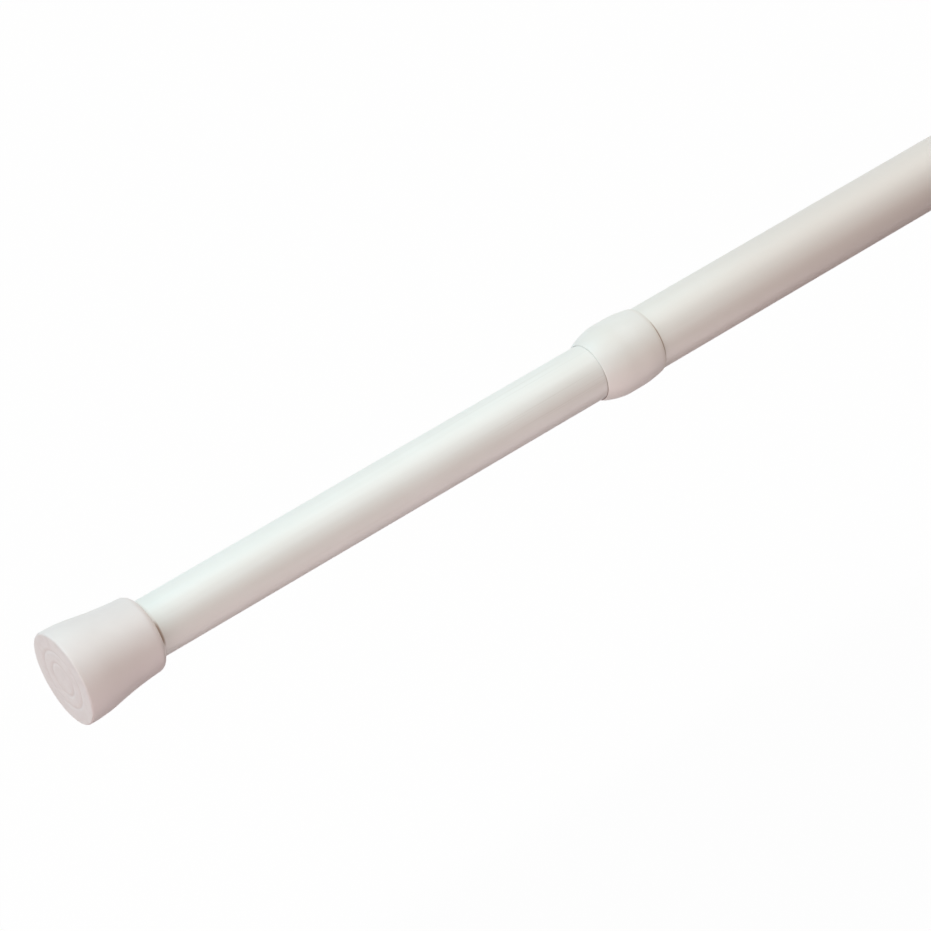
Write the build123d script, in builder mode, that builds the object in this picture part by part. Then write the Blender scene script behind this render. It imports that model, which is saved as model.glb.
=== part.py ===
# Shower curtain rod with a twist lock, in millimetres.
#
# The rod lies along X. The origin is the centre of the outer foot's face, which meets one wall, and the
# inner foot meets the other wall at the +X end. The inner tube slides in the outer tube. A split sleeve on
# the inner tube's end grips the outer tube's bore when a cone is drawn into it, and a spring behind it
# keeps the two feet pressed on their walls. Rest is locked, with the spring at its stop.

import os
from math import radians, tan

from build123d import *

# Tubes
outer_tube_d = 25.4
outer_tube_wall = 0.7
outer_tube_length = 1040.0
inner_tube_d = 22.2
inner_tube_wall = 0.7
inner_tube_length = 1000.0
exposed_length = 200.4  # of inner tube, between its foot and the collar, as the photograph shows it

# Feet, the same form on both tubes
foot_length = 34.8
foot_floor = 4.0
foot_neck_wall = 3.5
foot_flare = 3.6  # rim beyond the neck
foot_rim_band = 3.4
foot_neck_band = 2.7
foot_mouth_land = 0.25
foot_edge = 0.6
foot_washer_thick = 1.2
face_ring_count = 2
face_ring_first_r = 6.5
face_ring_pitch = 5.0
face_ring_width = 1.0
face_ring_depth = 0.5

# Collar on the outer tube's end
collar_length = 26.3
collar_lip = 3.0  # wall at its mouth, which stops it on the tube
collar_mouth_r = 11.7
collar_belly_r = 14.45
collar_tail_r = 13.3
collar_belly_start = 11.4
collar_belly_length = 5.4
collar_mouth_chamfer = 0.2

# Clearances
seat_gap = 0.05  # pieces fixed to each other
run_gap = 0.1  # radial, pieces that run in a tube's bore or on a flat
slide_gap = 0.15  # radial, looser fits
bolt_hole_gap = 0.2  # radial, round the bolt

# Bolt, nut and washers of the lock
bolt_d = 6.0
bolt_lead = 1.0
bolt_head_flats = 10.0
bolt_head_thick = 4.0
bolt_end = 1.4  # beyond the stop washer
nut_thick = 5.0
loosen_turns = 1.5
stop_washer_d = 9.0
stop_washer_thick = 1.0
thrust_washer_d = 20.0
thrust_washer_thick = 1.0

# Cone and expander sleeve
finger_count = 4
cone_rim_r = 10.9
cone_rim_thick = 4.0
cone_taper_length = 13.0
cone_half_angle = 13.0
cone_rib_width = 2.6
cone_rib_inset = 0.5  # its top below the sleeve's surface
slot_side_gap = 0.2
sleeve_mouth_gap = 1.0  # along the rod, to the cone's rim
sleeve_length = 46.0
sleeve_floor = 5.0
nut_pocket_spare = 2.0
slot_root = 4.0  # solid ring between the floor and the slots
grip_groove_count = 3
grip_groove_pitch = 6.0
grip_groove_width = 1.6
grip_groove_depth = 0.5
grip_groove_start = 5.0  # first groove's middle from the sleeve's mouth

# Plunger
plunger_flange_r = 10.8
plunger_flange_thick = 4.0
plunger_front_wall = 6.0  # between its front and the bolt's head
shank_r = 8.5
shank_flat = 7.2  # from the axis to each of the two flats
piston_length = 9.0

# Guide bush in the inner tube's end
bush_flange_thick = 2.5
bush_spigot_length = 15.0
bush_pin_d = 3.0
bush_pin_inset = 7.0  # its axis from the tube's end
pin_recess = 0.1  # each pin's end below the tube's surface
pin_clear = 0.4  # from the plunger's flat

# Spring, its washer and its seat
spring_wire_d = 1.8
spring_mean_d = 17.0
spring_coils = 7
spring_length = 75.0  # at its stop
spring_stroke = 25.0  # it can be pressed this much further
stroke_spare = 1.5
spring_washer_thick = 1.2
spring_washer_hole_d = 12.5
seat_length = 15.0
seat_boss_length = 6.0
seat_boss_gap = 0.4  # radial, inside the coils
seat_pin_d = 4.0

# Radii that follow
outer_tube_r = outer_tube_d / 2
outer_bore_r = outer_tube_r - outer_tube_wall
inner_tube_r = inner_tube_d / 2
inner_bore_r = inner_tube_r - inner_tube_wall
sleeve_r = outer_bore_r - run_gap
fixed_in_tube_r = inner_bore_r - seat_gap
piston_r = inner_bore_r - slide_gap
cone_tip_r = cone_rim_r - cone_taper_length * tan(radians(cone_half_angle))
bolt_hole_r = bolt_d / 2 + bolt_hole_gap
hex_pocket_flats = bolt_head_flats + 2 * slide_gap
wire_r = spring_wire_d / 2
spring_mean_r = spring_mean_d / 2

# Places along the rod, from the outer foot to the inner one
tube_inset = foot_floor + foot_washer_thick + 2 * seat_gap
outer_tube_end = tube_inset + outer_tube_length
collar_mouth = outer_tube_end + seat_gap + collar_lip
rod_length = collar_mouth + exposed_length + foot_length
inner_tube_end = rod_length - tube_inset
inner_tube_start = inner_tube_end - inner_tube_length

# Places of the lock, from the inner tube's end towards the outer foot
bush_front = inner_tube_start - bush_flange_thick
plunger_shank_start = bush_front - spring_stroke - stroke_spare
plunger_front = plunger_shank_start - plunger_flange_thick
bolt_head_seat = plunger_front + plunger_front_wall
thrust_washer_front = plunger_front - seat_gap - thrust_washer_thick
cone_back = thrust_washer_front - seat_gap
cone_taper_start = cone_back - cone_rim_thick
cone_front = cone_taper_start - cone_taper_length
sleeve_mouth = cone_taper_start - sleeve_mouth_gap
sleeve_front = sleeve_mouth - sleeve_length
nut_pocket_end = sleeve_front + nut_thick + nut_pocket_spare
sleeve_hollow_start = nut_pocket_end + sleeve_floor
nut_back = nut_pocket_end - seat_gap
nut_front = nut_back - nut_thick
stop_washer_back = nut_front - loosen_turns * bolt_lead - seat_gap
bolt_tip = stop_washer_back - stop_washer_thick - bolt_end

# Places of the spring, from the inner tube's end towards the inner foot
bush_back = inner_tube_start + bush_spigot_length
piston_front = bush_back + seat_gap
piston_back = piston_front + piston_length
spring_washer_front = piston_back + seat_gap
spring_start = spring_washer_front + spring_washer_thick + seat_gap
spring_end = spring_start + spring_length
seat_front = spring_end + seat_gap
seat_back = seat_front + seat_length
seat_pin_x = (seat_front + seat_back) / 2
bush_pin_x = inner_tube_start + bush_pin_inset

os.makedirs("parts", exist_ok=True)


def save(built, name):
    """Names a finished piece and writes it."""
    built.part.label = name
    export_step(built.part, f"parts/{name}.step")


# Outer tube, a thin-walled steel tube
with BuildPart() as outer_tube:
    with BuildSketch(Plane.YZ.offset(tube_inset)):
        Circle(outer_tube_r)
        Circle(outer_bore_r, mode=Mode.SUBTRACT)
    extrude(amount=outer_tube_length)
save(outer_tube, "outer_tube")

# Inner tube, with cross holes for the pins of the guide bush and the spring seat
with BuildPart() as inner_tube:
    with BuildSketch(Plane.YZ.offset(inner_tube_start)):
        Circle(inner_tube_r)
        Circle(inner_bore_r, mode=Mode.SUBTRACT)
    extrude(amount=inner_tube_length)
    with BuildSketch(Plane.XY):
        with Locations((bush_pin_x, 0)):
            Circle(bush_pin_d / 2 + seat_gap)
        with Locations((seat_pin_x, 0)):
            Circle(seat_pin_d / 2 + seat_gap)
    extrude(amount=inner_tube_d, both=True, mode=Mode.SUBTRACT)
save(inner_tube, "inner_tube")


def build_foot(name, face_x, inward, tube_r):
    """A soft cap, open towards the middle of the rod. inward is 1 if that is +X, and -1 if it is -X."""
    neck_r = tube_r + foot_neck_wall
    rim_r = neck_r + foot_flare
    neck_end = foot_length - (foot_neck_wall - foot_mouth_land)
    flare_end = neck_end - foot_neck_band
    bore_r = tube_r + seat_gap

    def at(depth, radius):
        return (face_x + inward * depth, radius)

    with BuildPart() as foot:
        with BuildSketch(Plane.XY):
            with BuildLine():
                Polyline(at(foot_floor, 0), at(0, 0), at(0, rim_r - foot_edge), at(foot_edge, rim_r))
                rim = Line(at(foot_edge, rim_r), at(foot_rim_band, rim_r))
                middle = at((foot_rim_band + flare_end) / 2, (rim_r + neck_r) / 2)
                crown = TangentArc(rim @ 1, middle, tangent=rim % 1)
                waist = TangentArc(crown @ 1, at(flare_end, neck_r), tangent=crown % 1)
                neck = Line(waist @ 1, at(neck_end, neck_r))
                mouth = TangentArc(neck @ 1, at(foot_length, bore_r + foot_mouth_land), tangent=neck % 1)
                Polyline(mouth @ 1, at(foot_length, bore_r), at(foot_floor, bore_r), at(foot_floor, 0))
            make_face()
        revolve(axis=Axis.X)
        with BuildSketch(Plane.XY):
            for ring in range(face_ring_count):
                ring_r = face_ring_first_r + ring * face_ring_pitch
                with BuildLine():
                    Polyline(
                        at(-face_ring_depth, ring_r - face_ring_width),
                        at(-face_ring_depth, ring_r + face_ring_width),
                        at(face_ring_depth, ring_r),
                        close=True,
                    )
                make_face()
        revolve(axis=Axis.X, mode=Mode.SUBTRACT)
    save(foot, name)


def build_foot_washer(name, face_x, inward, tube_r):
    """The steel disc between a tube's thin edge and the soft floor of its foot."""
    near = face_x + inward * (foot_floor + seat_gap)
    with BuildPart() as foot_washer:
        with BuildSketch(Plane.YZ.offset(near)):
            Circle(tube_r)
        extrude(amount=inward * foot_washer_thick)
    save(foot_washer, name)


build_foot("outer_foot", 0, 1, outer_tube_r)
build_foot("inner_foot", rod_length, -1, inner_tube_r)
build_foot_washer("outer_foot_washer", 0, 1, outer_tube_r)
build_foot_washer("inner_foot_washer", rod_length, -1, inner_tube_r)

# Collar, pressed over the outer tube's end. Its lip stands in front of the end and guides the inner tube.
with BuildPart() as collar:
    with BuildSketch(Plane.XY):
        belly_start = (collar_mouth - collar_belly_start, collar_belly_r)
        belly_end = (collar_mouth - collar_belly_start - collar_belly_length, collar_belly_r)
        tail = (collar_mouth - collar_length, collar_tail_r)
        lip_bore_r = inner_tube_r + slide_gap
        seat_bore_r = outer_tube_r + seat_gap
        lip_back = collar_mouth - collar_lip
        with BuildLine():
            belly = Line(belly_start, belly_end)
            tail_arc = TangentArc(belly_end, tail, tangent=belly % 1)
            mouth_arc = TangentArc(belly_start, (collar_mouth, collar_mouth_r), tangent=-(belly % 0))
            Polyline(
                (collar_mouth, collar_mouth_r),
                (collar_mouth, lip_bore_r + collar_mouth_chamfer),
                (collar_mouth - collar_mouth_chamfer, lip_bore_r),
                (lip_back, lip_bore_r),
                (lip_back, seat_bore_r),
                (collar_mouth - collar_length, seat_bore_r),
                tail,
            )
        make_face()
    revolve(axis=Axis.X)
save(collar, "collar")

# Expander sleeve: a closed end that holds the nut, and fingers with grip rings outside and a taper inside
with BuildPart() as expander_sleeve:
    with BuildSketch(Plane.XY):
        taper_end_r = cone_tip_r + seat_gap
        mouth_r = taper_end_r + (sleeve_mouth - cone_front) * tan(radians(cone_half_angle))
        with BuildLine():
            Polyline(
                (sleeve_front, 0),
                (sleeve_front, sleeve_r),
                (sleeve_mouth, sleeve_r),
                (sleeve_mouth, mouth_r),
                (cone_front, taper_end_r),
                (sleeve_hollow_start, taper_end_r),
                (sleeve_hollow_start, 0),
                close=True,
            )
        make_face()
    revolve(axis=Axis.X)
    with BuildSketch(Plane.XY):
        for groove in range(grip_groove_count):
            groove_x = sleeve_mouth - grip_groove_start - groove * grip_groove_pitch
            with Locations((groove_x, sleeve_r)):
                Rectangle(grip_groove_width, 2 * grip_groove_depth)
    revolve(axis=Axis.X, mode=Mode.SUBTRACT)
    slot_width = cone_rib_width + 2 * slot_side_gap
    with BuildSketch(Plane.YZ.offset(sleeve_hollow_start + slot_root)):
        with PolarLocations(outer_bore_r / 2, finger_count):
            Rectangle(outer_bore_r, slot_width)
    extrude(amount=sleeve_length, mode=Mode.SUBTRACT)
    with BuildSketch(Plane.YZ.offset(sleeve_front)):
        RegularPolygon(hex_pocket_flats / 2, 6, major_radius=False)
    extrude(amount=nut_pocket_end - sleeve_front, mode=Mode.SUBTRACT)
    with BuildSketch(Plane.YZ.offset(nut_pocket_end)):
        Circle(bolt_hole_r)
    extrude(amount=sleeve_floor, mode=Mode.SUBTRACT)
save(expander_sleeve, "expander_sleeve")

# Draw nut, a plain hex nut. Its thread is left to the finish of the surface.
with BuildPart() as draw_nut:
    with BuildSketch(Plane.YZ.offset(nut_front)):
        RegularPolygon(bolt_head_flats / 2, 6, major_radius=False)
        Circle(bolt_d / 2 + seat_gap, mode=Mode.SUBTRACT)
    extrude(amount=nut_thick)
save(draw_nut, "draw_nut")

# Cone ring, with a rib for each slot of the sleeve
with BuildPart() as cone_ring:
    with BuildSketch(Plane.XY):
        with BuildLine():
            Polyline(
                (cone_back, 0),
                (cone_back, cone_rim_r),
                (cone_taper_start, cone_rim_r),
                (cone_front, cone_tip_r),
                (cone_front, 0),
                close=True,
            )
        make_face()
    revolve(axis=Axis.X)
    rib_top = sleeve_r - cone_rib_inset
    with BuildSketch(Plane.YZ.offset(cone_front)):
        with PolarLocations(rib_top / 2, finger_count):
            Rectangle(rib_top, cone_rib_width)
    extrude(amount=cone_back - cone_front)
    with BuildSketch(Plane.YZ.offset(cone_front)):
        Circle(bolt_hole_r)
    extrude(amount=cone_back - cone_front, mode=Mode.SUBTRACT)
save(cone_ring, "cone_ring")


def build_washer(name, front_x, thickness, washer_r, hole_r):
    """A flat washer on the rod's axis."""
    with BuildPart() as washer:
        with BuildSketch(Plane.YZ.offset(front_x)):
            Circle(washer_r)
            Circle(hole_r, mode=Mode.SUBTRACT)
        extrude(amount=thickness)
    save(washer, name)


build_washer(
    "thrust_washer", thrust_washer_front, thrust_washer_thick, thrust_washer_d / 2, bolt_hole_r
)
build_washer(
    "stop_washer",
    stop_washer_back - stop_washer_thick,
    stop_washer_thick,
    stop_washer_d / 2,
    bolt_d / 2 + seat_gap,
)
build_washer(
    "spring_washer", spring_washer_front, spring_washer_thick, piston_r, spring_washer_hole_d / 2
)

# Lock bolt, a hex bolt whose head lies at the bottom of the plunger's hex core
with BuildPart() as lock_bolt:
    with BuildSketch(Plane.YZ.offset(bolt_head_seat + seat_gap)):
        RegularPolygon(bolt_head_flats / 2, 6, major_radius=False)
    extrude(amount=bolt_head_thick)
    with BuildSketch(Plane.YZ.offset(bolt_tip)):
        Circle(bolt_d / 2)
    extrude(amount=bolt_head_seat + seat_gap - bolt_tip)
    chamfer(lock_bolt.edges().filter_by(GeomType.CIRCLE).sort_by(Axis.X)[0], bolt_lead / 2)
save(lock_bolt, "lock_bolt")

# Plunger: front flange, shank with two flats, and a piston behind the guide bush
with BuildPart() as plunger:
    with BuildSketch(Plane.YZ.offset(plunger_front)):
        Circle(plunger_flange_r)
    extrude(amount=plunger_flange_thick)
    with BuildSketch(Plane.YZ.offset(plunger_shank_start)):
        Circle(shank_r)
        Rectangle(2 * shank_r, 2 * shank_flat, mode=Mode.INTERSECT)
    extrude(amount=piston_front - plunger_shank_start)
    with BuildSketch(Plane.YZ.offset(piston_front)):
        Circle(piston_r)
    extrude(amount=piston_length)
    with BuildSketch(Plane.YZ.offset(bolt_head_seat)):
        RegularPolygon(hex_pocket_flats / 2, 6, major_radius=False)
    extrude(amount=piston_back - bolt_head_seat, mode=Mode.SUBTRACT)
    with BuildSketch(Plane.YZ.offset(plunger_front)):
        Circle(bolt_hole_r)
    extrude(amount=plunger_front_wall, mode=Mode.SUBTRACT)
save(plunger, "plunger")

# Guide bush: a flange that runs in the outer tube, and a spigot pinned in the inner tube
with BuildPart() as guide_bush:
    with BuildSketch(Plane.YZ.offset(bush_front)):
        Circle(outer_bore_r - run_gap)
    extrude(amount=bush_flange_thick - seat_gap)
    with BuildSketch(Plane.YZ.offset(inner_tube_start - seat_gap)):
        Circle(fixed_in_tube_r)
    extrude(amount=bush_spigot_length + seat_gap)
    with BuildSketch(Plane.YZ.offset(bush_front)):
        Circle(shank_r + run_gap)
        Rectangle(2 * (shank_r + run_gap), 2 * (shank_flat + run_gap), mode=Mode.INTERSECT)
    extrude(amount=bush_back - bush_front, mode=Mode.SUBTRACT)
    with BuildSketch(Plane.XY):
        with Locations((bush_pin_x, 0)):
            Circle(bush_pin_d / 2 + seat_gap)
    extrude(amount=inner_tube_d, both=True, mode=Mode.SUBTRACT)
save(guide_bush, "guide_bush")

# The two short pins of the guide bush, one above and one below
pin_outer_end = inner_tube_r - pin_recess
bush_pin_inner_end = shank_flat + pin_clear
with BuildPart() as bush_pins:
    with BuildSketch(Plane.XY.offset(bush_pin_inner_end), Plane.XY.offset(-pin_outer_end)):
        with Locations((bush_pin_x, 0)):
            Circle(bush_pin_d / 2)
    extrude(amount=pin_outer_end - bush_pin_inner_end, dir=(0, 0, 1))
save(bush_pins, "bush_pins")

# Spring seat, a plug with a boss inside the spring's last coil
with BuildPart() as spring_seat:
    with BuildSketch(Plane.YZ.offset(seat_front)):
        Circle(fixed_in_tube_r)
    extrude(amount=seat_length)
    with BuildSketch(Plane.YZ.offset(seat_front - seat_boss_length)):
        Circle(spring_mean_r - wire_r - seat_boss_gap)
    extrude(amount=seat_boss_length)
    with BuildSketch(Plane.XY):
        with Locations((seat_pin_x, 0)):
            Circle(seat_pin_d / 2 + seat_gap)
    extrude(amount=inner_tube_d, both=True, mode=Mode.SUBTRACT)
save(spring_seat, "spring_seat")

# Seat pin, across the tube and the seat
with BuildPart() as seat_pin:
    with BuildSketch(Plane.XY.offset(-pin_outer_end)):
        with Locations((seat_pin_x, 0)):
            Circle(seat_pin_d / 2)
    extrude(amount=2 * pin_outer_end)
save(seat_pin, "seat_pin")

# Compression spring, its ends ground flat
coil_pitch = spring_length / spring_coils
with BuildPart() as compression_spring:
    with BuildLine() as coil_line:
        Helix(
            pitch=coil_pitch,
            height=spring_length + spring_wire_d,
            radius=spring_mean_r,
            center=(spring_start - wire_r, 0, 0),
            direction=(1, 0, 0),
        )
    with BuildSketch(Plane(coil_line.line @ 0, z_dir=coil_line.line % 0)):
        RegularPolygon(wire_r, 6)
    sweep(is_frenet=True)
    split(bisect_by=Plane.YZ.offset(spring_start), keep=Keep.TOP)
    split(bisect_by=Plane.YZ.offset(spring_end), keep=Keep.BOTTOM)
save(compression_spring, "compression_spring")

print(f"rod length {rod_length:.2f}, inner foot's neck at {rod_length - foot_length:.2f}")
print(f"collar from {collar_mouth - collar_length:.2f} to {collar_mouth:.2f}")
print(f"inner tube from {inner_tube_start:.2f}, lock from {bolt_tip:.2f}, cone at {cone_back:.2f}")
print(f"spring from {spring_start:.2f} to {spring_end:.2f}")
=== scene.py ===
# White shower curtain rod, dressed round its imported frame. Everything is in metres, with the rod along X.

import math

import bmesh
import bpy
from mathutils import Matrix, Vector


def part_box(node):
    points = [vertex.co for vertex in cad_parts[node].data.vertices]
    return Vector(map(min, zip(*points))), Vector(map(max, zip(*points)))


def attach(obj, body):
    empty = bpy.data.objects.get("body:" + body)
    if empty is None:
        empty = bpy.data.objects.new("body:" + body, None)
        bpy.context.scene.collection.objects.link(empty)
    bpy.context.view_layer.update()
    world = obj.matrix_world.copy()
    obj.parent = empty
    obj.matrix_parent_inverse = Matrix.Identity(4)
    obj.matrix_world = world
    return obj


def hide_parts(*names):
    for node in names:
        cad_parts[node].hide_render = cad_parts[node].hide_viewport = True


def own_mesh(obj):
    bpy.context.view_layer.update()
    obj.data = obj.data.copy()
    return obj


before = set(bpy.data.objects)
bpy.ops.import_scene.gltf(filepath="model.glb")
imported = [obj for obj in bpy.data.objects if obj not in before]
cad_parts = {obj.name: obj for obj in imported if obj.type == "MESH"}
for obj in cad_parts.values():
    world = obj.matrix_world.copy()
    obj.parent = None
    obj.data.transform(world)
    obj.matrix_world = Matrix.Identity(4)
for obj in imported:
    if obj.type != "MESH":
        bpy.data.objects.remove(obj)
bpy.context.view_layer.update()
mm = 0.001
fullTurn = 2 * math.pi
print("frame loaded:", len(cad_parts), "nodes")


# Shader maths, written as expressions

class Sock:
    def __init__(self, nodes, socket):
        self.nodes, self.socket = nodes, socket

    def maths(self, operation, first, second):
        return self.nodes.add("ShaderNodeMath", {"operation": operation}, {0: first, 1: second})

    def __add__(self, other):
        return self.maths("ADD", self, other)

    def __radd__(self, other):
        return self.maths("ADD", other, self)

    def __sub__(self, other):
        return self.maths("SUBTRACT", self, other)

    def __rsub__(self, other):
        return self.maths("SUBTRACT", other, self)

    def __mul__(self, other):
        return self.maths("MULTIPLY", self, other)

    def __rmul__(self, other):
        return self.maths("MULTIPLY", other, self)


class Nodes:
    def __init__(self, owner):
        owner.use_nodes = True
        self.tree = owner.node_tree
        self.tree.nodes.clear()

    def feed(self, socket, value):
        if isinstance(value, Sock):
            self.tree.links.new(value.socket, socket)
        else:
            socket.default_value = value

    def add(self, kind, settings=(), inputs=(), output=0):
        node = self.tree.nodes.new(kind)
        for key, value in dict(settings).items():
            setattr(node, key, value)
        for key, value in dict(inputs).items():
            self.feed(node.inputs[key], value)
        return Sock(self, node.outputs[output])

    def ends(self, kind, shader):  # the tree's output node
        self.tree.links.new(shader.socket, self.tree.nodes.new(kind).inputs[0])

    def blend(self, factor, first, second):  # colours
        return self.add("ShaderNodeMix", {"data_type": "RGBA"}, {0: factor, 6: first, 7: second}, 2)

    def band(self, value, low, high, start=0.0, end=1.0):  # a smooth step from low to high
        kinds = {"interpolation_type": "SMOOTHSTEP"}
        return self.add("ShaderNodeMapRange", kinds, {0: value, 1: low, 2: high, 3: start, 4: end})

    def noise(self, place, scale, detail=2.0, roughness=0.5):
        ins = {"Vector": place, "Scale": scale, "Detail": detail, "Roughness": roughness}
        return self.add("ShaderNodeTexNoise", (), ins)

    def stretched(self, place, scale):
        return self.add("ShaderNodeMapping", (), {"Vector": place, "Scale": scale})

    def bump(self, height, distance, strength=1.0):
        ins = {"Height": height, "Distance": distance, "Strength": strength}
        return self.add("ShaderNodeBump", (), ins)


class Finish(Nodes):
    def __init__(self, name, **fixed):
        self.material = bpy.data.materials.new(name)
        super().__init__(self.material)
        self.place = self.add("ShaderNodeTexCoord", output="Object")
        split = self.tree.nodes.new("ShaderNodeSeparateXYZ")
        self.tree.links.new(self.place.socket, split.inputs[0])
        self.along, self.across, self.up = (Sock(self, socket) for socket in split.outputs)
        squared = self.across * self.across + self.up * self.up
        self.radius = self.add("ShaderNodeMath", {"operation": "SQRT"}, {0: squared})
        self.shader = self.tree.nodes.new("ShaderNodeBsdfPrincipled")
        self.ends("ShaderNodeOutputMaterial", Sock(self, self.shader.outputs[0]))
        self.set(**fixed)

    def side(self, angle, radius, outer, inner):  # 1 at this angle from +Y, 0 past the outer cosine
        turned = math.radians(angle)
        facing = self.across * (math.cos(turned) / radius) + self.up * (math.sin(turned) / radius)
        return self.band(facing, outer, inner)

    def set(self, **sockets):
        for key, value in sockets.items():
            self.feed(self.shader.inputs[key.replace("_", " ")], value)


# Finishes

coatLook = {
    "inner": ((0.87, 0.87, 0.855, 1), (0.84, 0.835, 0.815, 1)),  # colour, and its slightly darker cloud
    "outer": ((0.845, 0.825, 0.80, 1), (0.82, 0.795, 0.765, 1)),
    "farToneAndShade": (0.752, 0.70, 0.668, 1), "farToneAndShadeReach": 85 * mm, "farToneAndShadeShare": 0.85,  # partly a creamier coat and partly painted shade, darker and warmer away from the collar
    "edgeShade": (0.36, 0.25, 0.19, 1), "edgeShadeShare": 0.9,
    # painted shade: the colour of the dark line where the collar or the foot ends on the tube
    "scuff": (0.74, 0.72, 0.69, 1), "scuffShare": 0.35, "scuffRoughness": 0.12,
    "scuffSpan": (0.3, 0.12), "scuffEase": (0.01, 0.08),  # behind and ahead of the collar's mouth
    "streaks": (6, 260, 260), "rubs": (9, 900, 900),  # waves in a metre, along and across the tube
    "cloudScale": 28.0, "peelScale": 380.0, "peelDepth": 0.012 * mm,
    "roughness": 0.41, "streakRoughness": 0.06, "gloss": 0.3, "glossRoughness": 0.34,
}
edgeLines = {  # painted shade, a narrow dark line on the tube where the collar or the foot ends, strongest at one side
    "outer": {"far": 0.95 * mm, "near": 0.4 * mm, "angle": 40, "outer": 0.72, "inner": 0.97, "least": 0.22},
    "inner": {"far": 1.65 * mm, "near": 0.8 * mm, "angle": 36, "outer": 0.87, "inner": 0.985, "least": 0.1},
}


def tubeCoat(name, which, radius, edgeAt, scuffAt=None):
    look, edge = coatLook, edgeLines[which]
    coat = Finish(name, IOR=1.5, Coat_Weight=look["gloss"], Coat_Roughness=look["glossRoughness"])
    clean, cloudy = look[which]
    streaks = coat.noise(coat.stretched(coat.place, look["streaks"]), 1.0, 3.0)  # left by the forming rolls
    cloud = coat.noise(coat.place, look["cloudScale"], 2.0)
    colour = coat.blend(coat.band(streaks * 0.6 + cloud * 0.4, 0.42, 0.62), cloudy, clean)
    rough = look["roughness"] + streaks * look["streakRoughness"]
    if scuffAt is not None:  # faint rub marks where the collar's lip has run along the tube
        behind, ahead = look["scuffSpan"]
        startEase, endEase = look["scuffEase"]
        first, last = scuffAt - behind, scuffAt + ahead
        near = coat.band(coat.along, first - startEase, first)
        near = near * coat.band(coat.along, last - endEase, last, 1, 0)
        marks = coat.noise(coat.stretched(coat.place, look["rubs"]), 1.0, 2.0)
        rubbed = coat.band(marks, 0.63, 0.7) * near
        colour = coat.blend(rubbed * look["scuffShare"], colour, look["scuff"])
        rough = rough + rubbed * look["scuffRoughness"]
    # partly a creamier coat and partly painted shade: darker and warmer away from the collar
    if which == "outer":
        reach = look["farToneAndShadeReach"]
        farToneAndShade = coat.band(coat.along, edgeAt - reach, edgeAt + 0.2 * reach, 1, 0)
        colour = coat.blend(farToneAndShade * look["farToneAndShadeShare"], colour, look["farToneAndShade"])
    # painted shade where the collar or the foot ends on the tube, strongest at one side
    around = coat.side(edge["angle"], radius, edge["outer"], edge["inner"])
    line = coat.band(coat.along, edgeAt - edge["far"], edgeAt - edge["near"])
    line = line * (edge["least"] + (1 - edge["least"]) * around)
    colour = coat.blend(line * look["edgeShadeShare"], colour, look["edgeShade"])
    height = coat.noise(coat.place, look["peelScale"], 2.0) + streaks * 0.5
    coat.set(Base_Color=colour, Roughness=rough, Normal=coat.bump(height, look["peelDepth"]))
    return coat.material


collarLook = {
    "colour": (0.855, 0.845, 0.83, 1), "shade": (0.825, 0.81, 0.785, 1),
    "thin": (0.95, 0.925, 0.905, 1), "thinSide": (-35, -0.3, 0.85),  # painted light, the lower side lighter; angle and cosines
    "tail": (0.76, 0.70, 0.64, 1), "tailLength": 2.2 * mm, "tailShare": 0.35,  # thinner wall, a little warmer
    # painted shade: the colour of the crevice between the lip and the tube
    "creviceShade": (0.24, 0.165, 0.135, 1), "creviceShadeSide": (-15, -0.1, 0.85), "creviceShadeShare": 0.9,
    "creviceShadeEnds": (0.2 * mm, 0.5 * mm),  # outside the lip's bore
    "roughness": 0.36, "grainRoughness": 0.08, "grainScale": 900.0, "grainDepth": 0.006 * mm,
}


def collarPlastic(name, boreRadius, tailX):
    look = collarLook
    plastic = Finish(name, IOR=1.48)
    cloud = plastic.noise(plastic.place, 60.0, 3.0)
    colour = plastic.blend(plastic.band(cloud, 0.35, 0.65), look["shade"], look["colour"])
    # painted light: the collar's lower side is painted lighter
    angle, outer, inner = look["thinSide"]
    colour = plastic.blend(plastic.side(angle, boreRadius, outer, inner), colour, look["thin"])
    tail = plastic.band(plastic.along, tailX, tailX + look["tailLength"], 1, 0)
    colour = plastic.blend(tail * look["tailShare"], colour, look["tail"])
    # painted shade in the crevice at the lip's bore, strongest at the front lower side
    near, far = look["creviceShadeEnds"]
    creviceShade = plastic.band(plastic.radius, boreRadius + near, boreRadius + far, 1, 0)
    angle, outer, inner = look["creviceShadeSide"]
    creviceShade = creviceShade * plastic.side(angle, boreRadius, outer, inner)  # painted shade in the lip's crevice, none at the top where the lip hugs the narrower tube
    colour = plastic.blend(creviceShade * look["creviceShadeShare"], colour, look["creviceShade"])
    grain = plastic.noise(plastic.place, look["grainScale"], 2.0)
    rough = look["roughness"] + grain * look["grainRoughness"]
    plastic.set(Base_Color=colour, Roughness=rough, Normal=plastic.bump(grain, look["grainDepth"]))
    return plastic.material


footLook = {
    "colour": (0.838, 0.79, 0.787, 1), "shade": (0.803, 0.75, 0.748, 1),
    "dust": (0.76, 0.70, 0.69, 1), "dustLeast": 0.2, "dustSpots": 0.45, "faceDepth": (0.05 * mm, 0.6 * mm),
    # painted shade: the ring grooves on the face are painted darker
    "groove": (0.62, 0.54, 0.52, 1), "grooveShare": 0.3,
    "grooveTop": (0.08 * mm, 0.35 * mm), "grooveFloor": (0.4 * mm, 0.6 * mm),  # depths from the wall face
    "grooveReach": (13 * mm, 14 * mm),
    # painted shade: the colour of the crevice inside the foot's mouth, round the tube
    "creviceShade": (0.2, 0.13, 0.11, 1), "creviceShadeShare": 0.9,
    "creviceShadeEnds": (0.1 * mm, 0.4 * mm), "creviceShadeDepth": (20 * mm, 22 * mm),  # outside the tube, and from the face
    "roughness": 0.36, "grainRoughness": 0.12, "grainScale": 700.0, "grainDepth": 0.01 * mm,
}


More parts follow.
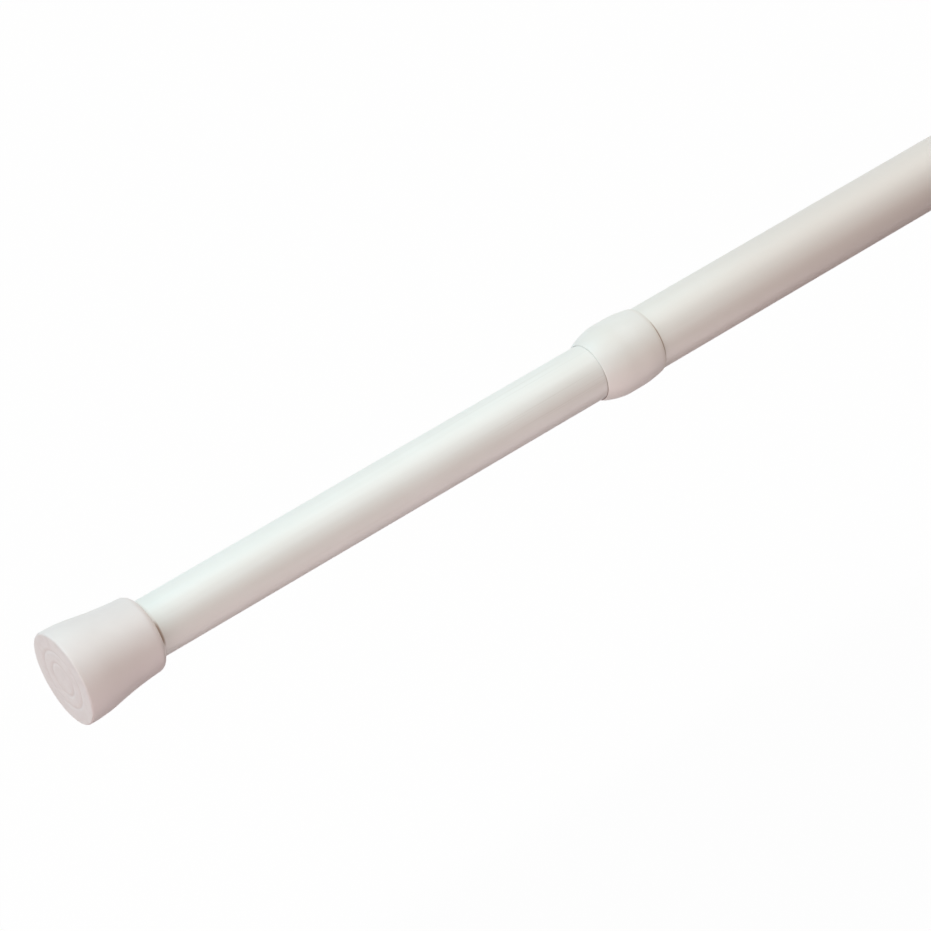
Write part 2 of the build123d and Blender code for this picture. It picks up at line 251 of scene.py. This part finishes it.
def footVinyl(name, tubeRadius, faceX, inward):
    look = footLook
    vinyl = Finish(name, IOR=1.46)
    cloud = vinyl.noise(vinyl.place, 45.0, 3.0)
    colour = vinyl.blend(vinyl.band(cloud, 0.35, 0.68), look["shade"], look["colour"])
    depth = (vinyl.along - faceX) * inward
    face = vinyl.band(depth, *look["faceDepth"], 1, 0)  # rubbed on the wall
    spots = vinyl.band(vinyl.noise(vinyl.place, 260.0, 4.0), 0.42, 0.66)
    colour = vinyl.blend(face * (look["dustLeast"] + spots * look["dustSpots"]), colour, look["dust"])
    # painted shade in the face's ring grooves
    inGroove = vinyl.band(depth, *look["grooveTop"]) * vinyl.band(depth, *look["grooveFloor"], 1, 0)
    inGroove = inGroove * vinyl.band(vinyl.radius, *look["grooveReach"], 1, 0)
    colour = vinyl.blend(inGroove * look["grooveShare"], colour, look["groove"])
    # painted shade in the crevice between the foot's mouth and the tube
    near, far = look["creviceShadeEnds"]
    creviceShade = vinyl.band(vinyl.radius, tubeRadius + near, tubeRadius + far, 1, 0)
    creviceShade = creviceShade * vinyl.band(depth, *look["creviceShadeDepth"])
    colour = vinyl.blend(creviceShade * look["creviceShadeShare"], colour, look["creviceShade"])
    grain = vinyl.noise(vinyl.place, look["grainScale"], 3.0)
    rough = look["roughness"] + grain * look["grainRoughness"]
    vinyl.set(Base_Color=colour, Roughness=rough, Normal=vinyl.bump(grain, look["grainDepth"]))
    return vinyl.material


def nylonMoulding():
    nylon = Finish("nylonMoulding", IOR=1.53)
    cloud = nylon.noise(nylon.place, 90.0, 3.0)
    colour = nylon.blend(cloud, (0.80, 0.79, 0.73, 1), (0.86, 0.855, 0.81, 1))
    grain = nylon.noise(nylon.place, 1500.0, 2.0)
    nylon.set(Base_Color=colour, Roughness=0.48 + grain * 0.1, Normal=nylon.bump(grain, 0.008 * mm))
    return nylon.material


def platedSteel():
    zinc = Finish("platedSteel", Metallic=1.0)
    cloud = zinc.noise(zinc.place, 300.0, 4.0)
    marks = zinc.noise(zinc.stretched(zinc.place, (2400, 500, 500)), 1.0, 2.0)
    colour = zinc.blend(cloud, (0.62, 0.63, 0.64, 1), (0.76, 0.76, 0.74, 1))
    zinc.set(Base_Color=colour, Roughness=0.24 + marks * 0.2, Normal=zinc.bump(marks, 0.006 * mm))
    return zinc.material


def springWire():
    steel = Finish("springWire", Metallic=1.0)
    drawn = steel.noise(steel.place, 900.0, 3.0)
    bloom = steel.noise(steel.place, 160.0, 3.0)
    colour = steel.blend(steel.band(bloom, 0.4, 0.65), (0.30, 0.30, 0.31, 1), (0.46, 0.45, 0.43, 1))
    steel.set(Base_Color=colour, Roughness=0.3 + drawn * 0.2, Normal=steel.bump(drawn, 0.008 * mm))
    return steel.material


# Shaping

weld = 0.002 * mm  # corners nearer than this are one


def profile(bm, points, closed=False):  # points are distance along the rod and radius
    corners = [bm.verts.new((x, 0, r)) for x, r in points]
    for first, second in zip(corners, corners[1:] + corners[:1] * closed):
        bm.edges.new((first, second))
    return corners


def ease(bm, corners, size, segments):
    bmesh.ops.bevel(bm, geom=corners, offset=size, offset_type="OFFSET", segments=segments, profile=0.5,
                    affect="VERTICES", clamp_overlap=True, material=-1)


def turn(bm, sides):
    bmesh.ops.spin(bm, geom=bm.verts[:] + bm.edges[:], cent=(0, 0, 0), axis=(1, 0, 0), dvec=(0, 0, 0),
                   angle=fullTurn, steps=sides, use_merge=True, use_duplicate=False)
    bmesh.ops.remove_doubles(bm, verts=bm.verts[:], dist=weld)
    bmesh.ops.recalc_face_normals(bm, faces=bm.faces[:])


def shade(bm, sharp=32):  # smooth, with edges kept where the surface turns by more than this angle
    for face in bm.faces:
        face.smooth = True
    for edge in bm.edges:
        if len(edge.link_faces) == 2:
            edge.smooth = edge.calc_face_angle() <= math.radians(sharp)


def shown(name, bm, material, sharp=32):
    shade(bm, sharp)
    mesh = bpy.data.meshes.new(name)
    bm.to_mesh(mesh)
    bm.free()
    mesh.materials.append(material)
    piece = bpy.data.objects.new(name, mesh)
    bpy.context.scene.collection.objects.link(piece)
    return piece


def stands(piece, body, node):  # rides on the node's body and is shown in its place
    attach(piece, body)
    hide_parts(node)
    print(piece.name, "made,", len(piece.data.polygons), "faces")


# Tubes

tubeSize = {
    "outerRadius": 12.7 * mm, "innerRadius": 11.1 * mm, "wall": 0.7 * mm, "endEase": 0.15 * mm, "sides": 160,
    "bushHole": 1.55 * mm, "seatHole": 2.05 * mm, "holeSides": 32,  # radii of the holes that the pins sit in
    "holeMargin": 5 * mm,  # a ring of corners this far to either side keeps the cut's faces short
    "drillLength": 60 * mm, "sliver": 0.004 * mm,
}


def tubeShape(node, radius, ringsAt=()):
    low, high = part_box(node)
    bore = radius - tubeSize["wall"]
    stops = sorted(ringsAt)
    bm = bmesh.new()
    outside = [(low.x, radius)] + [(x, radius) for x in stops] + [(high.x, radius)]
    inside = [(high.x, bore)] + [(x, bore) for x in reversed(stops)]
    corners = profile(bm, [(low.x, bore)] + outside + inside, closed=True)
    last = len(stops) + 2
    ends = [corners[0], corners[1], corners[last], corners[last + 1]]
    ease(bm, ends, tubeSize["endEase"], 2)
    turn(bm, tubeSize["sides"])
    return bm


def crossHoles(piece, holes):  # straight through the tube, up and down
    for x, radius in holes:
        bm = bmesh.new()
        bmesh.ops.create_cone(bm, cap_ends=True, segments=tubeSize["holeSides"], radius1=radius,
                              radius2=radius, depth=tubeSize["drillLength"],
                              matrix=Matrix.Translation((x, 0, 0)))
        drill = shown("drill", bm, piece.data.materials[0])
        cut = piece.modifiers.new("hole", "BOOLEAN")
        cut.operation, cut.object, cut.solver = "DIFFERENCE", drill, "EXACT"
        bpy.context.view_layer.update()
        done = bpy.data.meshes.new_from_object(piece.evaluated_get(bpy.context.evaluated_depsgraph_get()))
        piece.modifiers.clear()
        bpy.data.objects.remove(drill)
        bm = bmesh.new()
        bm.from_mesh(done)
        bmesh.ops.dissolve_degenerate(bm, dist=tubeSize["sliver"], edges=bm.edges[:])
        shade(bm)
        bm.to_mesh(done)
        bm.free()
        piece.data = done


outerTubeRadius, innerTubeRadius = tubeSize["outerRadius"], tubeSize["innerRadius"]
collarLow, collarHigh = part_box("collar")
outerCoat = tubeCoat("outerTubeCoat", "outer", outerTubeRadius, collarLow.x)
outerTube = shown("outerTube", tubeShape("outer_tube", outerTubeRadius), outerCoat)
stands(outerTube, "outer", "outer_tube")

bushPin, seatPin = ((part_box(node)[0].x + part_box(node)[1].x) / 2 for node in ("bush_pins", "seat_pin"))
margin = tubeSize["holeMargin"]
rings = [bushPin - margin, bushPin + margin, seatPin - margin, seatPin + margin]
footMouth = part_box("inner_foot")[0].x
innerCoat = tubeCoat("innerTubeCoat", "inner", innerTubeRadius, footMouth, scuffAt=collarHigh.x)
innerTube = shown("innerTube", tubeShape("inner_tube", innerTubeRadius, rings), innerCoat)
crossHoles(innerTube, [(bushPin, tubeSize["bushHole"]), (seatPin, tubeSize["seatHole"])])
stands(innerTube, "inner", "inner_tube")


# Collar

collarSize = {
    "mouthRadius": 11.58 * mm, "bellyRadius": 14.45 * mm, "tailRadius": 13.3 * mm,
    "bellyStart": 11.4 * mm, "bellyLength": 5.4 * mm, "lip": 3.0 * mm,
    "lipBore": 11.15 * mm, "seatBore": 12.75 * mm, "outerEase": 0.22 * mm, "innerEase": 0.06 * mm,
    "tailEase": 0.12 * mm, "frontShare": 0.93, "backShare": 0.98,  # how much of each shoulder is curved
    "shoulderSteps": 14, "sides": 160,
}


def tangentLength(along, across):  # of the arc that leaves a straight run and ends along and across from it
    half = math.atan2(abs(across), along)
    return math.hypot(along, across) / 2 / math.cos(half)


def collarShape():
    size = collarSize
    mouth, tail, steps = collarHigh.x, collarLow.x, size["shoulderSteps"]
    bellyFront = mouth - size["bellyStart"]
    bellyBack = bellyFront - size["bellyLength"]
    frontEase = tangentLength(size["bellyStart"], size["bellyRadius"] - size["mouthRadius"])
    backEase = tangentLength(bellyBack - tail, size["bellyRadius"] - size["tailRadius"])
    bm = bmesh.new()
    corners = profile(bm, [
        (tail, size["seatBore"]), (tail, size["tailRadius"]),
        (bellyBack - backEase, size["bellyRadius"]), (bellyFront + frontEase, size["bellyRadius"]),
        (mouth, size["mouthRadius"]), (mouth, size["lipBore"]),
        (mouth - size["lip"], size["lipBore"]), (mouth - size["lip"], size["seatBore"]),
    ], closed=True)
    ease(bm, [corners[4]], size["outerEase"], 4)
    ease(bm, [corners[5]], size["innerEase"], 2)
    ease(bm, [corners[1]], size["tailEase"], 2)
    ease(bm, [corners[2]], backEase * size["backShare"], steps)
    ease(bm, [corners[3]], frontEase * size["frontShare"], steps)
    turn(bm, size["sides"])
    return bm


collarFinish = collarPlastic("collarPlastic", collarSize["lipBore"], collarLow.x)
collar = shown("collarSleeve", collarShape(), collarFinish)
stands(collar, "outer", "collar")


# Feet

footSize = {
    "length": 34.8 * mm, "floor": 4 * mm, "seatGap": 0.05 * mm,
    "neckWall": 3.5 * mm, "neckTaper": 0.1 * mm, "neckShare": 0.95,  # how much of the neck's end is curved
    "mouthLand": 0.25 * mm, "mouthChamfer": 0.5 * mm, "chamferRise": 0.9,
    "flare": 3.6 * mm, "rimBand": 7.3 * mm, "rimEase": 0.8 * mm, "shoulderEase": 4.5 * mm,
    "coneEnd": 22 * mm, "coneRise": 0.85 * mm, "coneEase": 6 * mm,  # where the cone meets the neck
    "ringRadii": (6.5 * mm, 11.5 * mm), "ringHalfWidth": 1.0 * mm, "ringDepth": 0.35 * mm,
    "ringEase": 0.32 * mm, "sides": 160,
}


def footShape(faceX, inward, tubeRadius):
    size = footSize
    length, halfRing = size["length"], size["ringHalfWidth"]
    neck, bore = tubeRadius + size["neckWall"], tubeRadius + size["seatGap"]
    rim = neck + size["flare"]
    neckEnd = size["neckWall"] - size["mouthLand"] - size["seatGap"]
    points = [
        (size["floor"], 0), (size["floor"], bore), (length - size["mouthChamfer"], bore),
        (length, bore + size["mouthLand"] * size["chamferRise"]), (length, neck - size["neckTaper"]),
        (size["coneEnd"], neck + size["coneRise"]), (size["rimBand"], rim), (0, rim),
    ]
    for radius in reversed(size["ringRadii"]):
        points += [(0, radius + halfRing), (size["ringDepth"], radius), (0, radius - halfRing)]
    points.append((0, 0))
    bm = bmesh.new()
    corners = profile(bm, [(faceX + inward * depth, radius) for depth, radius in points])
    ease(bm, corners[8:-1], size["ringEase"], 3)
    ease(bm, [corners[7]], size["rimEase"], 8)
    ease(bm, [corners[4]], neckEnd * size["neckShare"], 12)
    ease(bm, [corners[5]], size["coneEase"], 16)
    ease(bm, [corners[6]], size["shoulderEase"], 16)
    turn(bm, size["sides"])
    return bm


footPlaces = {
    "outerFoot": ("outer_foot", "outer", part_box("outer_foot")[0].x, 1, outerTubeRadius),
    "innerFoot": ("inner_foot", "inner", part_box("inner_foot")[1].x, -1, innerTubeRadius),
}
for name, (node, body, faceX, inward, tubeRadius) in footPlaces.items():
    vinyl = footVinyl(name + "Vinyl", tubeRadius, faceX, inward)
    foot = shown(name, footShape(faceX, inward, tubeRadius), vinyl)
    stands(foot, body, node)


# Spring

springSize = {
    "wire": 1.8 * mm, "coilRadius": 8.5 * mm, "turns": 9, "closedTurns": 1, "closedPitch": 1.03,  # in wires
    "stepsPerTurn": 40, "wireSides": 14, "sharp": 50, "pressed": 25 * mm,
}


def springShape(low, high):
    size = springSize
    wireRadius, closedTurns = size["wire"] / 2, size["closedTurns"]
    closedPitch = size["wire"] * size["closedPitch"]
    openTurns = size["turns"] - 2 * closedTurns
    openPitch = (high - low + size["wire"] - 2 * closedTurns * closedPitch) / openTurns
    closedQuarters, openQuarters = [closedPitch] * 4 * closedTurns, [openPitch] * 4 * openTurns
    start = Matrix.Translation((low - wireRadius, 0, size["coilRadius"]))
    start = start @ Matrix.Rotation(math.pi / 2, 4, "X")
    bm = bmesh.new()
    ring = bmesh.ops.create_circle(bm, cap_ends=False, radius=wireRadius, segments=size["wireSides"],
                                   matrix=start)
    section = ring["verts"] + bm.edges[:]
    for pitch in closedQuarters + openQuarters + closedQuarters:
        made = bmesh.ops.spin(bm, geom=section, cent=(0, 0, 0), axis=(1, 0, 0), angle=fullTurn / 4,
                              dvec=(pitch / size["stepsPerTurn"], 0, 0), steps=size["stepsPerTurn"] // 4,
                              use_merge=False, use_duplicate=False)
        section = made["geom_last"]
    for x, outwards in ((low, -1), (high, 1)):  # ground flat at both ends
        bmesh.ops.bisect_plane(bm, geom=bm.verts[:] + bm.edges[:] + bm.faces[:], dist=weld / 4,
                               plane_co=(x, 0, 0), plane_no=(outwards, 0, 0), clear_outer=True)
    bmesh.ops.remove_doubles(bm, verts=bm.verts[:], dist=weld)
    bmesh.ops.holes_fill(bm, edges=[edge for edge in bm.edges if edge.is_boundary], sides=0)
    bmesh.ops.recalc_face_normals(bm, faces=bm.faces[:])
    return bm


springLow, springHigh = (corner.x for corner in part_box("compression_spring"))
spring = shown("coilSpring", springShape(springLow, springHigh), springWire(), springSize["sharp"])
stands(spring, "inner", "compression_spring")
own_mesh(spring)


# Pieces that stay as the frame has them, with a better finish

kept = {
    nylonMoulding(): ("expander_sleeve", "cone_ring", "plunger", "guide_bush", "spring_seat"),
    platedSteel(): ("outer_foot_washer", "inner_foot_washer", "draw_nut", "lock_bolt", "thrust_washer",
                    "stop_washer", "spring_washer", "bush_pins", "seat_pin"),
}
for material, nodes in kept.items():
    for node in nodes:
        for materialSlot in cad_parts[node].material_slots:
            materialSlot.material = material
print("kept nodes finished")


# Studio

studio = {
    "floorDrop": 0.42, "floorRadius": 14.0, "floorColour": (0.80, 0.74, 0.715, 1), "floorSeen": 0.985,
    "airColour": (0.345, 0.28, 0.255, 1), "paperWhite": (1, 1, 1, 1), "flagColour": (0.10, 0.085, 0.08, 1),
}
lamps = {  # softboxes, aimed at the rod
    "longTop": {"place": (0.95, -0.2, 1.4), "aim": (0.95, 0, 0), "size": (3.2, 1.5), "watts": 18.6,
                "colour": (1.0, 0.96, 0.88)},
    "coolWindow": {"place": (1.7, -0.62, 1.0), "aim": (1.2, 0, 0), "size": (1.2, 0.6), "watts": 6.2,
                   "colour": (0.3, 0.84, 1.0)},
    "endFill": {"place": (2.3, 0.3, 0.2), "aim": (1.28, 0, 0), "size": (0.7, 0.7), "watts": 3.5,
                "colour": (1.0, 0.85, 0.84)},
    "tableBounce": {"place": (1.1, 0.35, -0.38), "aim": (1.05, 0, 0), "size": (1.4, 0.25), "watts": 2.4,
                    "colour": (1.0, 0.88, 0.9)},
}
flags = {  # dark cards that the camera doesn't see: middle, size, and whether it stands up
    "softFlag": ((0.75, 1.05, 0.12), (2.6, 0.26), True),
    "groundCloth": ((0.9, 0.22, -0.40), (3.2, 0.62), False),
    "darkCard": ((0.43, 0.2, -0.04), (0.86, 0.26), True),  # keeps the thick tube in shade
}

air = bpy.data.worlds.new("studioAir")
bpy.context.scene.world = air
sky = Nodes(air)


def seenDirectly(nodes):  # by the camera, or mirrored in the object
    kinds = ("Is Camera Ray", "Is Glossy Ray", "Is Transmission Ray")
    camera, glossy, through = (nodes.add("ShaderNodeLightPath", output=kind) for kind in kinds)
    return camera + glossy + through


lit = sky.add("ShaderNodeBackground", (), {0: studio["airColour"], 1: 1.0})
white = sky.add("ShaderNodeBackground", (), {0: studio["paperWhite"], 1: 1.0})
mixed = sky.add("ShaderNodeMixShader", (), {0: seenDirectly(sky), 1: lit, 2: white})
sky.ends("ShaderNodeOutputWorld", mixed)

floorPaint = bpy.data.materials.new("paleFloor")
ground = Nodes(floorPaint)
matt = ground.add("ShaderNodeBsdfDiffuse", (), {0: studio["floorColour"]})
paper = ground.add("ShaderNodeEmission", (), {0: studio["paperWhite"], 1: 1.0})
share = seenDirectly(ground) * studio["floorSeen"]  # the rest keeps the rod's soft shadow
surface = ground.add("ShaderNodeMixShader", (), {0: share, 1: matt, 2: paper})
ground.ends("ShaderNodeOutputMaterial", surface)
bm = bmesh.new()
bmesh.ops.create_circle(bm, cap_ends=True, radius=studio["floorRadius"], segments=96,
                        matrix=Matrix.Translation((0.64, 0, -studio["floorDrop"])))
floor = shown("studioFloor", bm, floorPaint)

flagPaint = bpy.data.materials.new("darkFlag")
cloth = Nodes(flagPaint)
cloth.ends("ShaderNodeOutputMaterial", cloth.add("ShaderNodeBsdfDiffuse", (), {0: studio["flagColour"]}))
for name, (middle, (wide, deep), standing) in flags.items():
    place = Matrix.Translation(middle) @ Matrix.Rotation(math.pi / 2 * standing, 4, "X")
    place = place @ Matrix.Diagonal((wide, deep, 1, 1))
    bm = bmesh.new()
    bmesh.ops.create_grid(bm, x_segments=1, y_segments=1, size=0.5, matrix=place)
    flag = shown(name, bm, flagPaint)
    flag.visible_camera = False

for name, lamp in lamps.items():
    light = bpy.data.lights.new(name, "AREA")
    light.shape = "RECTANGLE"
    light.size, light.size_y = lamp["size"]
    light.energy, light.color = lamp["watts"], lamp["colour"]
    softbox = bpy.data.objects.new(name, light)
    bpy.context.scene.collection.objects.link(softbox)
    softbox.location = lamp["place"]
    reach = Vector(lamp["aim"]) - Vector(lamp["place"])
    softbox.rotation_euler = reach.to_track_quat("-Z", "Y").to_euler()
print("studio lit")


# Camera

viewpoint = {
    "lens": 143.19, "sensor": 36, "azimuth": 141.75, "elevation": 48.1,
    "faceRight": -0.13897, "faceUp": -0.07392, "faceAway": 1.278,  # the near wall face, from the camera
    "clip": (0.05, 60),
}
azimuth, elevation = math.radians(viewpoint["azimuth"]), math.radians(viewpoint["elevation"])
level = math.cos(elevation)
right = Vector((math.cos(azimuth), math.sin(azimuth), 0))
forward = Vector((-math.sin(azimuth) * level, math.cos(azimuth) * level, -math.sin(elevation)))
upward = right.cross(forward)
wallFace = Vector((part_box("inner_foot")[1].x, 0, 0))
toFace = right * viewpoint["faceRight"] + upward * viewpoint["faceUp"] + forward * viewpoint["faceAway"]
cameraData = bpy.data.cameras.new("camera")
cameraData.lens, cameraData.sensor_width = viewpoint["lens"], viewpoint["sensor"]
cameraData.clip_start, cameraData.clip_end = viewpoint["clip"]
camera = bpy.data.objects.new("camera", cameraData)
bpy.context.scene.collection.objects.link(camera)
camera.matrix_world = Matrix((right, upward, -forward)).transposed().to_4x4()
camera.location = wallFace - toFace
bpy.context.scene.camera = camera
bpy.context.scene.view_settings.view_transform = "Standard"
print("camera set")
